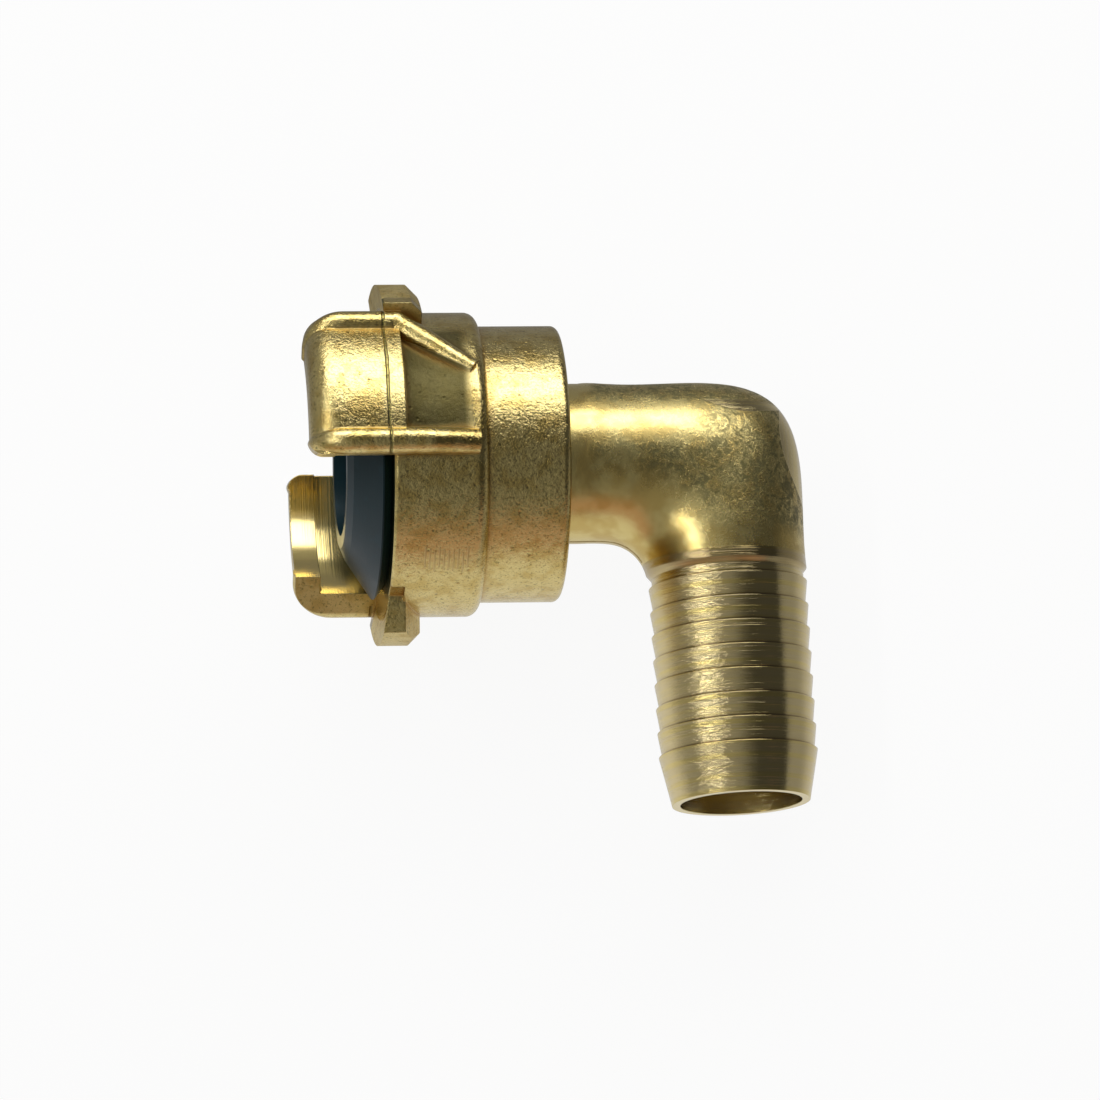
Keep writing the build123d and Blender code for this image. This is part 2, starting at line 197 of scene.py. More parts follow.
class Finish(Nodes):
    """A node material with one Principled surface."""

    def __init__(self, name):
        self.material = bpy.data.materials.new(name)
        self.material.use_nodes = True
        super().__init__(self.material.node_tree)
        self.tree.nodes.clear()
        self.surface = self.node("ShaderNodeBsdfPrincipled")
        self.node("ShaderNodeOutputMaterial", Surface=self.surface.outputs[0])
        self.places = self.node("ShaderNodeTexCoord")

    def set(self, **values):
        """Feeds the surface's sockets; underscores stand for spaces."""
        for name, value in values.items():
            self.join(value, self.surface.inputs[name.replace("_", " ")])

    def axes(self, basis, origin):
        """Object coordinates turned into millimetres along a piece's own axes."""
        node = self.node(
            "ShaderNodeMapping",
            Vector=self.places.outputs["Object"],
            Scale=(1 / MM, 1 / MM, 1 / MM),
            Rotation=basis.to_euler(),
            Location=-(basis @ origin) / MM,
        )
        return node.outputs[0]

    def facing(self, basis):
        """The surface's direction along a piece's own axes."""
        node = self.node("ShaderNodeMapping", Vector=self.places.outputs["Normal"], Rotation=basis.to_euler())
        return self.parts(node.outputs[0])

    def radius(self, y, z):
        """Distance from an axis."""
        return self.calc("SQRT", self.plus(self.times(y, y), self.times(z, z)))

    def towards(self, y, z, turn):
        """Distance from an axis along one direction about it."""
        return self.plus(self.times(y, math.cos(turn)), self.times(z, math.sin(turn)))

    def line(self, value, place, width):
        """1 on a thin line where value equals place, 0 beyond the width."""
        return self.rise(self.magnitude(self.minus(value, place)), 0.3 * width, width, 1, 0)

    def noise(self, vector, scale, detail=3.0, roughness=0.55, distortion=0.0):
        """Cloudy variation, its grain about 1/scale millimetres."""
        node = self.node(
            "ShaderNodeTexNoise",
            Vector=vector, Scale=scale, Detail=detail, Roughness=roughness, Distortion=distortion,
        )
        return node.outputs["Fac"]

    def pits(self, vector, scale, reach):
        """1 in the middle of scattered pits, 0 between them."""
        node = self.node("ShaderNodeTexVoronoi", Vector=vector, Scale=scale, Randomness=1)
        return self.rise(node.outputs["Distance"], 0, reach, 1, 0)

    def corners(self, reach):
        """Ambient occlusion for painted shade: 1 deep in the corners within a reach in millimetres, 0 on open
        faces.
        """
        node = self.node(
            "ShaderNodeAmbientOcclusion", {"samples": 6, "only_local": True}, Distance=reach * MM
        )
        return self.rise(node.outputs["AO"], 0.45, 0.97, 1, 0)

    def relief(self, height, depth, softened=0.0):
        """Bumps up to depth for a height from 0 to 1, over edges softened by a radius, in millimetres."""
        bump = self.node("ShaderNodeBump", Distance=depth * MM, Height=height)
        if softened:
            edges = self.node("ShaderNodeBevel", {"samples": 4}, Radius=self.times(softened, MM))
            self.join(edges.outputs[0], bump.inputs["Normal"])
        return bump.outputs[0]


def colour(value):
    """A plain tuple of a colour property."""
    return tuple(value)[:3]


def dress(node, finish):
    """Gives a CAD node's object its finish in every material slot."""
    piece = frame["nodes"][node]
    if not piece.material_slots:
        raise RuntimeError(f"{node} has no material slot")
    for material_slot in piece.material_slots:
        material_slot.material = finish.material


def number(name, description, default):
    """A plain number with its name, description and default."""
    return FloatProperty(name=name, description=description, default=default)


def fraction(name, description, default):
    """A number from 0 to 1."""
    return FloatProperty(name=name, description=description, default=default, subtype="FACTOR")


def angle(name, description, degrees):
    """An angle, given in degrees."""
    return FloatProperty(name=name, description=description, default=math.radians(degrees), subtype="ANGLE")


def colour_of(name, description, default):
    """A colour."""
    return FloatVectorProperty(
        name=name, description=description, default=default, subtype="COLOR", size=3, min=0, max=1
    )


# ---------------------------------------------------------------- sizes and colours
class HeadFinish(bpy.types.PropertyGroup):
    brass: colour_of("Brass", "Colour of the blasted forging", (0.78, 0.625, 0.265))
    warm: colour_of("Warm patches", "Colour of its slightly tarnished patches", (0.66, 0.49, 0.17))
    dull: colour_of("Specks", "Colour in its small pits", (0.22, 0.19, 0.06))
    # painted shade: the near black-brown laid in the hollow behind a claw, in place of its shade
    hollow_shade: colour_of("Hollow shade", "Colour of the hollow behind a claw", (0.065, 0.057, 0.021))
    # painted shade: the colour an occlusion mask lays in the sharp corners
    corner: colour_of("Corners", "Colour in the sharp corners", (0.42, 0.24, 0.06))
    corner_shade_reach: number("Corner reach", "Width of the darker corners, mm", 1.6)
    edges: number("Edges", "Rounding of the forged edges, mm", 0.3)
    hollow_edges: number("Hollow edges", "Rounding in the hollow behind a claw, mm", 2.4)
    grain: number("Grain", "Grains of the blasted skin per millimetre", 1.25)
    grain_depth: number("Grain depth", "Depth of the grain, mm", 0.15)
    roughness: fraction("Roughness", "Roughness of the forged skin", 0.18)
    turned_roughness: fraction("Turned roughness", "Roughness of the turned faces", 0.16)
    parting: number("Parting line", "Place of the dies' parting line before the mating face, mm", 0.8)
    parting_width: number("Parting width", "Half width of that line, mm", 0.34)
    claw_turn: angle("Claw turn", "Middle of the first claw about the swivel", 157.5)


class ElbowFinish(bpy.types.PropertyGroup):
    brass: colour_of("Brass", "Colour of the elbow's forging", (0.78, 0.63, 0.26))
    warm: colour_of("Warm patches", "Colour of its tarnished patches", (0.66, 0.49, 0.17))
    patina: colour_of("Patina", "Colour of the dark skin left in its hollows", (0.15, 0.14, 0.065))
    turned: colour_of("Turned brass", "Colour of the turned hose tail", (0.74, 0.61, 0.33))
    # grime and painted shade: laid above the ridges, at the tail's shoulder and, by an occlusion mask, in all
    # corners
    grime_and_shade: colour_of("Grime and shade", "Colour in the corners above the ridges", (0.20, 0.12, 0.05))
    edges: number("Edges", "Rounding of the turned edges, mm", 0.22)
    blend: number("Blend", "Rounding of the forging's own edges, mm", 1.2)
    # painted highlight: place of the patina-free strip that brightens the key lamp's highlight on the pipe
    highlight_turn: angle("Crown turn", "Place of the pipe's clean crown, up from its front", 21)
    ridge_first: number("First ridge", "Swivel axis to the first ridge's crest, mm", 21.0)
    ridge_pitch: number("Ridge pitch", "Distance from ridge to ridge, mm", 4.05)
    patina_share: fraction("Patina share", "How much of the skin the patina covers", 0.5)
    roughness: fraction("Roughness", "Roughness of the forged skin", 0.25)
    turned_roughness: fraction("Turned roughness", "Roughness of the turned tail", 0.12)
    turning_start: number("Turning start", "Swivel axis to the first turned surface of the tail, mm", 16.9)
    tool_marks: number("Tool marks", "Turning marks per millimetre", 4.4)


class SealFinish(bpy.types.PropertyGroup):
    rubber: colour_of("Rubber", "Colour of the moulded face seal", (0.006, 0.026, 0.036))
    roughness: fraction("Roughness", "Roughness of the moulded rubber", 0.38)


class StemFinish(bpy.types.PropertyGroup):
    o_ring: colour_of("O-ring", "Colour of the greased O-ring", (0.012, 0.012, 0.013))
    washer: colour_of("Washer", "Colour of the slide washer's plastic", (0.78, 0.77, 0.72))
    ring: colour_of("Retaining ring", "Colour of the ring's spring steel", (0.42, 0.41, 0.40))


class FlashLine(bpy.types.PropertyGroup):
    pipe_radius: number("Pipe radius", "Outside radius of the elbow, mm", 13.3)
    width: number("Width", "Width of the trimmed flash, mm", 0.9)
    height: number("Height", "How far it stands proud, mm", 0.11)
    step: number("Step", "Distance between its sections, mm", 0.45)
    wander: fraction("Wander", "How much its height varies", 0.5)
    seed: IntProperty(name="Seed", description="Choice of its variation", default=4)


class RimTicks(bpy.types.PropertyGroup):
    count: IntProperty(name="Count", description="Ticks in a row", default=10)
    pitch: number("Pitch", "Distance from tick to tick, mm", 0.78)
    start: number("Start", "Mating face to the first tick, mm", 5.3)
    length: number("Length", "Length of a tick, mm", 4.2)
    width: number("Width", "Width of a tick, mm", 0.30)
    height: number("Height", "How far a tick stands proud, mm", 0.05)
    turn: angle("Turn", "Place of the row about the swivel", 230.5)
    rim_radius: number("Rim radius", "Outside radius of the rim, mm", 25.2)
    seed: IntProperty(name="Seed", description="Choice of their variation", default=2)


class Studio(bpy.types.PropertyGroup):
    floor: colour_of("Floor", "Colour of the table", (0.90, 0.90, 0.89))
    room: colour_of("Room", "Colour of the room round the table", (0.30, 0.30, 0.28))
    ceiling: colour_of("Ceiling", "Colour of the dark stand over the table", (0.055, 0.055, 0.05))
    brown: colour_of("Brown edge", "Colour of the wooden table's edge round the sheet", (0.45, 0.30, 0.24))
    key: number("Key lamp", "Brightness of the large soft lamp behind", 3.6)
    strip: number("Strip lamp", "Brightness of the narrow lamp at the left", 11.0)
    whiteness: fraction("Whiteness", "How far the table is seen as white", 0.93)
    mirrored_front: number("Mirrored in front", "Table's brightness in the metal, before it", 0.72)
    mirrored_behind: number("Mirrored behind", "Table's brightness in the metal, behind it", 0.22)
    mirrored_beside: number("Mirrored beside", "Share of that brightness at the right", 0.42)
    lens: number("Lens", "Focal length of the camera, mm", 316.2764)
    aim_right: number("Aim right", "Middle of the view to the right, mm", 0.17)
    aim_down: number("Aim down", "Middle of the view below the axis, mm", 14.24)
    distance: FloatProperty(
        name="Distance", description="Camera to the coupling", default=1.6, subtype="DISTANCE", unit="LENGTH"
    )
    yaw: angle("Yaw", "Turn of the view about the tail's direction", 6.5)
    pitch: angle("Pitch", "How far the view looks along the tail", 12)
    roll: angle("Roll", "Turn of the camera about its own line of sight", 0.5)


# ---------------------------------------------------------------- geometry nodes
class Shaper(Nodes):
    """A Geometry Nodes tree with named inputs."""

    def __init__(self, name, inputs):
        super().__init__(bpy.data.node_groups.new(name, "GeometryNodeTree"))
        sockets = self.tree.interface
        for way in ("INPUT", "OUTPUT"):
            sockets.new_socket("Geometry", in_out=way, socket_type="NodeSocketGeometry")
        self.ids = {}
        for title, kind in inputs.items():
            socket = sockets.new_socket(title, in_out="INPUT", socket_type="NodeSocket" + kind)
            self.ids[title] = socket.identifier
        self.given = self.tree.nodes.new("NodeGroupInput").outputs
        self.out = self.tree.nodes.new("NodeGroupOutput").inputs[0]

    def close(self, geometry, material):
        """Ends the tree in Realize Instances and Set Material."""
        real = self.node("GeometryNodeRealizeInstances", Geometry=geometry)
        dressed = self.node("GeometryNodeSetMaterial", Geometry=real.outputs[0], Material=material)
        self.tree.links.new(dressed.outputs[0], self.out)

    def make(self, name, start, values, place=Matrix()):
        """Runs the tree on a start mesh with these values and returns the result as a plain object."""
        worker = bpy.data.objects.new(name + "_start", start)
        bpy.context.scene.collection.objects.link(worker)
        modifier = worker.modifiers.new("shape", "NODES")
        modifier.node_group = self.tree
        for title, value in values.items():
            modifier[self.ids[title]] = value
        depsgraph = bpy.context.evaluated_depsgraph_get()
        mesh = bpy.data.meshes.new_from_object(worker.evaluated_get(depsgraph), depsgraph=depsgraph)
        bpy.data.objects.remove(worker)
        mesh.transform(place)
        mesh.name = name
        piece = bpy.data.objects.new(name, mesh)
        bpy.context.scene.collection.objects.link(piece)
        return piece


# ---------------------------------------------------------------- the pieces' operators
class COUPLING_OT_head(bpy.types.Operator):
    """Gives the claw head its blasted and turned brass"""

    bl_idname = "coupling.head"
    bl_label = "Claw head brass"

    def execute(self, context):
        look = context.scene.coupling_head
        brass = Finish("head_brass")
        place = brass.axes(coupling_basis, mating_face)
        x, y, z = brass.parts(place)
        radius = brass.radius(y, z)
        face_x, face_y, face_z = brass.facing(coupling_basis)

        # turned faces: inside the claws, the pockets and the mouth
        outward = brass.over(brass.plus(brass.times(y, face_y), brass.times(z, face_z)), radius)
        inward_facing = brass.rise(outward, -0.35, -0.25, 1, 0)
        behind_lips = brass.times(
            brass.rise(radius, 23.33, 23.38, 1, 0), brass.rise(brass.magnitude(x), 9.5, 9.6, 1, 0)
        )
        behind_lips = brass.times(behind_lips, brass.rise(x, 5, 6, 1, 0))
        mating = brass.times(brass.line(x, 0, 0.2), brass.rise(face_x, -0.95, -0.9, 1, 0))
        turned = brass.most(brass.most(inward_facing, behind_lips), mating)

        # the blasted skin
        waves = brass.noise(place, 0.32, 2)
        lumps = brass.noise(place, 0.62 * look.grain, 3, 0.6, 0.5)
        grain = brass.noise(place, 1.9 * look.grain, 3, 0.7, 0.8)
        pits = brass.times(brass.pits(place, 0.55, 0.22), brass.rise(waves, 0.45, 0.6))
        height = brass.scaled(lumps, 0.62, brass.times(grain, 0.42))
        height = brass.scaled(pits, -0.55, height)

        # the dies' parting line across the claws and their ribs
        middle = brass.towards(y, z, look.claw_turn)
        on_claw = brass.rise(brass.over(brass.magnitude(middle), radius), 0.845, 0.855)
        on_claw = brass.times(on_claw, brass.rise(radius, 25.5, 25.7))
        wavering = brass.plus(x, brass.scaled(brass.noise(place, 0.25, 1), 0.5, -0.25))
        parting = brass.times(brass.line(wavering, -look.parting, look.parting_width), on_claw)
        height = brass.scaled(parting, -1.1, height)

        # turning marks run round the swivel axis
        rings = brass.noise(brass.vector(brass.times(x, 5), brass.times(radius, 5)), 1, 3)
        skin = brass.minus(1, turned)
        height = brass.plus(brass.times(height, skin), brass.times(brass.times(rings, turned), 0.12))

        tone = brass.mix(brass.rise(waves, 0.42, 0.66), colour(look.brass), colour(look.warm))
        tone = brass.mix(turned, tone, colour(look.brass))
        speck = brass.times(brass.rise(grain, 0.34, 0.47, 0.7, 0), skin)
        tone = brass.mix(brass.most(speck, brass.times(pits, 0.6)), tone, colour(look.dull))
        tone = brass.mix(brass.times(parting, 0.85), tone, colour(look.dull))
        # painted shade: the hollow behind a claw is painted nearly black-brown, standing in for a slope there
        # that mirrors the dark side of the room; the sharp corners get painted shade too
        hollow = brass.times(
            brass.rise(brass.over(brass.magnitude(middle), radius), 0.87, 0.92),
            brass.times(brass.rise(x, 1.6, 2.4), brass.rise(x, 11.5, 14.0, 1, 0)),
        )
        hollow = brass.times(hollow, brass.rise(radius, 25.15, 25.5, 1, 0))
        hollow = brass.times(hollow, brass.rise(radius, 23.4, 23.6))
        tone = brass.mix(brass.times(hollow, 0.93), tone, colour(look.hollow_shade))
        # painted shade: an occlusion mask lays the corner colour in the sharp corners of the skin
        corners = brass.times(brass.corners(look.corner_shade_reach), skin)
        tone = brass.mix(brass.times(corners, 0.8), tone, colour(look.corner))
        # the lugs and the claws' end faces are duller than the rest
        beside = brass.over(brass.minus(brass.times(y, face_z), brass.times(z, face_y)), radius)
        ends = brass.times(brass.rise(brass.magnitude(beside), 0.85, 0.95), brass.rise(radius, 20.1, 20.2))
        lugs = brass.times(brass.rise(radius, 25.6, 26.4), brass.minus(1, on_claw))
        lugs = brass.times(lugs, brass.rise(x, -1.2, -1.0))
        dull = brass.times(brass.most(ends, lugs), skin)
        rough = brass.plus(
            brass.times(skin, brass.scaled(lumps, 0.16, look.roughness - 0.08)),
            brass.times(turned, look.turned_roughness),
        )
        rough = brass.scaled(brass.most(dull, hollow), 0.26, rough)
        edges = brass.scaled(hollow, look.hollow_edges - look.edges, look.edges)
        relief = brass.relief(height, look.grain_depth, edges)
        brass.set(Base_Color=tone, Metallic=1.0, Roughness=rough, Normal=relief)
        dress("claw_head", brass)
        return {"FINISHED"}


class COUPLING_OT_elbow(bpy.types.Operator):
    """Gives the elbow its rougher forged skin and the hose tail its turned one"""

    bl_idname = "coupling.elbow"
    bl_label = "Elbow and hose tail brass"

    def execute(self, context):
        look = context.scene.coupling_elbow
        brass = Finish("elbow_brass")
        place = brass.axes(coupling_basis, mating_face)
        x, y, z = brass.parts(place)
        down = brass.axes(tail_basis, tail_root)
        tail_x, tail_y, tail_z = brass.parts(down)
        tail_radius = brass.radius(tail_x, tail_y)
        pipe_radius = brass.radius(y, z)

        turned = brass.rise(tail_z, look.turning_start - 0.05, look.turning_start + 0.05)
        bore = brass.times(brass.rise(tail_radius, 10.6, 10.7, 1, 0), brass.rise(tail_z, -9, -8))
        stem = brass.rise(x, 29.6, 29.8, 1, 0)
        stem_bore = brass.times(brass.rise(pipe_radius, 8.8, 8.9, 1, 0), brass.rise(tail_x, -9, -8, 1, 0))
        turned = brass.most(brass.most(turned, bore), brass.most(stem, stem_bore))
        skin = brass.minus(1, turned)

        # forged skin, with the dark patina left in its hollows except near the collar and in the inner corner
        waves = brass.noise(place, 0.22, 2)
        lumps = brass.noise(place, 0.8, 4, 0.65, 0.8)
        grain = brass.noise(place, 2.3, 4, 0.75, 1.2)
        to_corner = brass.radius(brass.minus(x, tail_offset - 20), brass.plus(z, 19))
        corner = brass.rise(brass.scaled(waves, 7, to_corner), 17.5, 23)
        neck = brass.rise(brass.scaled(waves, 5, x), 35.5, 38)
        above_tail = brass.rise(tail_z, 11.0, 15.5, 1, 0.25)
        aged = brass.times(brass.times(corner, neck), above_tail)
        # painted highlight: the strip along the pipe where the key lamp's highlight falls is kept clear of
        # patina, so it reads bright
        to_highlight = brass.towards(y, z, math.pi - look.highlight_turn)
        painted_highlight = brass.rise(brass.over(to_highlight, pipe_radius), 0.93, 0.985)
        painted_highlight = brass.times(painted_highlight, brass.rise(x, 48, 58, 0.8, 0))
        aged = brass.times(aged, brass.minus(1, painted_highlight))
        hollows = brass.scaled(lumps, 0.55, brass.times(grain, 0.45))
        edge = 0.415 + 0.24 * look.patina_share
        cloud = brass.scaled(brass.noise(place, 0.16, 2), 0.22, -0.11)
        hollows = brass.plus(hollows, cloud)
        patina = brass.times(brass.rise(hollows, edge - 0.09, edge + 0.03, 1, 0), aged)
        wisps = brass.rise(
            brass.magnitude(brass.minus(brass.noise(place, 0.7, 4, 0.65, 2.0), 0.5)), 0.004, 0.035, 1, 0
        )
        wisps = brass.times(wisps, brass.times(brass.rise(lumps, 0.40, 0.52), aged))
        patina = brass.times(brass.most(patina, wisps), skin)
        height = brass.scaled(lumps, 0.6, brass.times(grain, 0.45))
        height = brass.times(height, brass.scaled(aged, 0.75, 0.3))

        # turning marks run round the tail, the stem's and its bore's round the swivel
        round_swivel = brass.most(stem, stem_bore)
        along = brass.plus(brass.times(tail_z, brass.minus(1, round_swivel)), brass.times(x, round_swivel))
        marks = brass.noise(brass.vector(brass.times(along, look.tool_marks), 0, 0), 1, 4, 0.7)
        fine_marks = brass.noise(brass.vector(brass.times(along, 2.9 * look.tool_marks), 5, 0), 1, 2, 0.6)
        # grime and painted shade lie in the corner above each ridge and in a line at the tail's shoulder
        ridge = brass.calc("FRACT", brass.over(brass.minus(look.ridge_first, tail_z), look.ridge_pitch))
        last_ridge = look.ridge_first + 7.1 * look.ridge_pitch
        on_ridges = brass.times(
            brass.rise(tail_z, look.ridge_first - 1, look.ridge_first - 0.8),
            brass.rise(tail_z, last_ridge, last_ridge + 0.1 * look.ridge_pitch, 1, 0),
        )
        grime_and_shade = brass.times(brass.rise(ridge, 0.02, 0.11, 1, 0), on_ridges)
        grime_and_shade = brass.times(grime_and_shade, brass.rise(tail_radius, 12.2, 12.3))
        shoulder = brass.line(tail_z, look.turning_start + 0.9, 2.4)
        grime_and_shade = brass.most(grime_and_shade, brass.times(shoulder, 0.62))
        wide_marks = brass.noise(brass.vector(brass.times(along, 0.9), 0, 3), 1, 2)
        height = brass.plus(
            brass.times(height, skin),
            brass.times(brass.times(brass.plus(marks, fine_marks), turned), 0.30),
        )

        tone = brass.mix(brass.rise(waves, 0.40, 0.64), colour(look.brass), colour(look.warm))
        tone = brass.mix(brass.times(patina, 0.88), tone, colour(look.patina))
        metal = brass.mix(brass.rise(wide_marks, 0.45, 0.62), colour(look.turned), colour(look.brass))
        metal = brass.mix(brass.times(brass.rise(marks, 0.34, 0.48, 1, 0), 0.45), metal, colour(look.warm))
        metal = brass.mix(brass.times(grime_and_shade, 0.72), metal, colour(look.grime_and_shade))
        tone = brass.mix(turned, tone, metal)
        rough = brass.plus(
            brass.times(skin, brass.scaled(patina, 0.22, look.roughness)),
            brass.times(turned, brass.scaled(wide_marks, 0.10, look.turned_roughness - 0.05)),
        )
        # painted shade: an occlusion mask lays the grime colour in all corners
        tone = brass.mix(brass.times(brass.corners(1.2), 0.6), tone, colour(look.grime_and_shade))
        edges = brass.scaled(skin, look.blend - look.edges, look.edges)
        brass.set(Base_Color=tone, Metallic=1.0, Roughness=rough, Normal=brass.relief(height, 0.13, edges))
        dress("elbow_hose_tail", brass)
        return {"FINISHED"}


class COUPLING_OT_seal(bpy.types.Operator):
    """Gives the face seal its moulded rubber"""

    bl_idname = "coupling.seal"
    bl_label = "Face seal rubber"

    def execute(self, context):
        look = context.scene.coupling_seal
        rubber = Finish("seal_rubber")
        place = rubber.axes(coupling_basis, mating_face)
        x, y, z = rubber.parts(place)
        cloud = rubber.noise(place, 0.35, 3)
        skin = rubber.noise(place, 6, 2)
        mould = rubber.noise(rubber.vector(rubber.times(rubber.radius(y, z), 3), x), 1.5, 2)
        dust = rubber.times(rubber.rise(cloud, 0.5, 0.75), 0.25)
        tone = rubber.mix(dust, colour(look.rubber), tuple(2.2 * c for c in colour(look.rubber)))
        rubber.set(
            Base_Color=tone,
            Roughness=rubber.scaled(cloud, 0.14, look.roughness - 0.07),
            IOR=1.36,
            Normal=rubber.relief(rubber.scaled(skin, 0.35, mould), 0.012),
        )
        dress("face_seal", rubber)
        return {"FINISHED"}


class COUPLING_OT_stem_parts(bpy.types.Operator):
    """Gives the O-ring, the slide washer and the retaining ring on the stem their finishes"""

    bl_idname = "coupling.stem_parts"
    bl_label = "Pieces on the stem"

    def execute(self, context):
        look = context.scene.coupling_stem
        rubber = Finish("o_ring_rubber")
        place = rubber.axes(coupling_basis, mating_face)
        film = rubber.noise(place, 0.8, 3)
        rubber.set(
            Base_Color=rubber.mix(rubber.rise(film, 0.4, 0.7), colour(look.o_ring), (0.03, 0.03, 0.028)),
            Roughness=rubber.rise(film, 0.3, 0.7, 0.18, 0.45),
            Normal=rubber.relief(rubber.noise(place, 5, 2), 0.008),
        )
        dress("stem_o_ring", rubber)

        plastic = Finish("washer_plastic")
        place = plastic.axes(coupling_basis, mating_face)
        x, y, z = plastic.parts(place)
        rings = plastic.noise(plastic.vector(plastic.times(plastic.radius(y, z), 4), x), 1, 3)
        plastic.set(
            Base_Color=plastic.mix(plastic.rise(rings, 0.4, 0.7), colour(look.washer), (0.70, 0.68, 0.61)),
            Roughness=plastic.rise(rings, 0.3, 0.7, 0.42, 0.56),
            Subsurface_Weight=0.1,
            Subsurface_Radius=(0.001, 0.001, 0.001),
            Normal=plastic.relief(rings, 0.01),
        )
        dress("slide_washer", plastic)

        steel = Finish("ring_steel")
        place = steel.axes(coupling_basis, mating_face)
        x, y, z = steel.parts(place)
        brushed = steel.noise(steel.vector(steel.times(steel.radius(y, z), 7), x), 1, 3)
        steel.set(
            Base_Color=steel.mix(steel.rise(brushed, 0.4, 0.65), colour(look.ring), (0.30, 0.29, 0.28)),
            Metallic=1.0,
            Roughness=steel.rise(brushed, 0.3, 0.7, 0.26, 0.42),
            Normal=steel.relief(brushed, 0.01),
        )
        dress("retaining_ring", steel)
        return {"FINISHED"}


class COUPLING_OT_flash_line(bpy.types.Operator):
    """Lays the trimmed flash of the forging dies along the elbow's outer and inner side"""

    bl_idname = "coupling.flash_line"
    bl_label = "Elbow flash line"

    def execute(self, context):
        size = context.scene.coupling_flash
        shaper = Shaper(
            "trimmed_flash",
            {
                "Elbow": "Object", "Width": "Float", "Height": "Float", "Step": "Float",
                "Wander": "Float", "Seed": "Int", "Side": "Vector", "Brass": "Material",
            },
        )
        given = shaper.given
        elbow = shaper.node("GeometryNodeObjectInfo", Object=given["Elbow"])
        path = shaper.node("GeometryNodeMeshToCurve", Mesh=given["Geometry"])
        fine = shaper.node(
            "GeometryNodeResampleCurve", {"mode": "LENGTH"}, Curve=path.outputs[0], Length=given["Step"]
        )
        nearest = shaper.node("GeometryNodeProximity", Geometry=elbow.outputs["Geometry"])
        seated = shaper.node(
            "GeometryNodeSetPosition", Geometry=fine.outputs[0], Position=nearest.outputs["Position"]
        )
        even = shaper.node(
            "GeometryNodeResampleCurve", {"mode": "LENGTH"}, Curve=seated.outputs[0], Length=given["Step"]
        )
        upright = shaper.node(
            "GeometryNodeSetCurveNormal", {"mode": "FREE"}, Curve=even.outputs[0], Normal=given["Side"]
        )
        wander = shaper.node(
            "ShaderNodeTexNoise", {"noise_dimensions": "4D"}, W=given["Seed"], Scale=900.0, Detail=2.0
        )
        uneven = shaper.scaled(shaper.minus(wander.outputs[0], 0.5), given["Wander"], 1.0)
        # the section is a flat oval: wide across the line, low above the skin
        oval = shaper.node("GeometryNodeCurvePrimitiveCircle", Resolution=10, Radius=0.5)
        oval_size = shaper.vector(given["Width"], shaper.times(given["Height"], 2.0), 1.0)
        profile = shaper.node("GeometryNodeTransform", Geometry=oval.outputs[0], Scale=oval_size)
        bead = shaper.node(
            "GeometryNodeCurveToMesh",
            Curve=upright.outputs[0],
            Profile_Curve=profile.outputs[0],
            Scale=uneven,
            Fill_Caps=True,
        )
        shaper.close(bead.outputs[0], given["Brass"])

        pipe = size.pipe_radius
        inner = tail_offset - pipe
        outer = tail_offset + pipe
        routes = {
            "flash_line_outer": (
                (30.2, pipe), (38, pipe), (46, pipe), (54, pipe), (60, pipe - 0.6), (65, pipe - 3),
                (68.5, pipe - 7), (outer, 2), (outer, -5), (outer, -11), (outer, -16.6),
            ),
            "flash_line_inner": (
                (30.2, -pipe), (33, -pipe), (36, -pipe), (39, -pipe - 0.6),
                (inner - 1, -pipe - 2), (inner, -16.7),
            ),
        }
        elbow_piece = frame["nodes"]["elbow_hose_tail"]
        for name, route in routes.items():
            start = bpy.data.meshes.new(name + "_route")
            points = [on_coupling(x, 0, z) for x, z in route]
            start.from_pydata(points, [(i, i + 1) for i in range(len(points) - 1)], [])
            piece = shaper.make(
                name,
                start,
                {
                    "Elbow": elbow_piece,
                    "Width": size.width * MM,
                    "Height": size.height * MM,
                    "Step": size.step * MM,
                    "Wander": size.wander,
                    "Seed": size.seed,
                    "Side": coupling_basis.row[1],
                    "Brass": bpy.data.materials["elbow_brass"],
                },
            )
            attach(piece, "elbow")
        return {"FINISHED"}


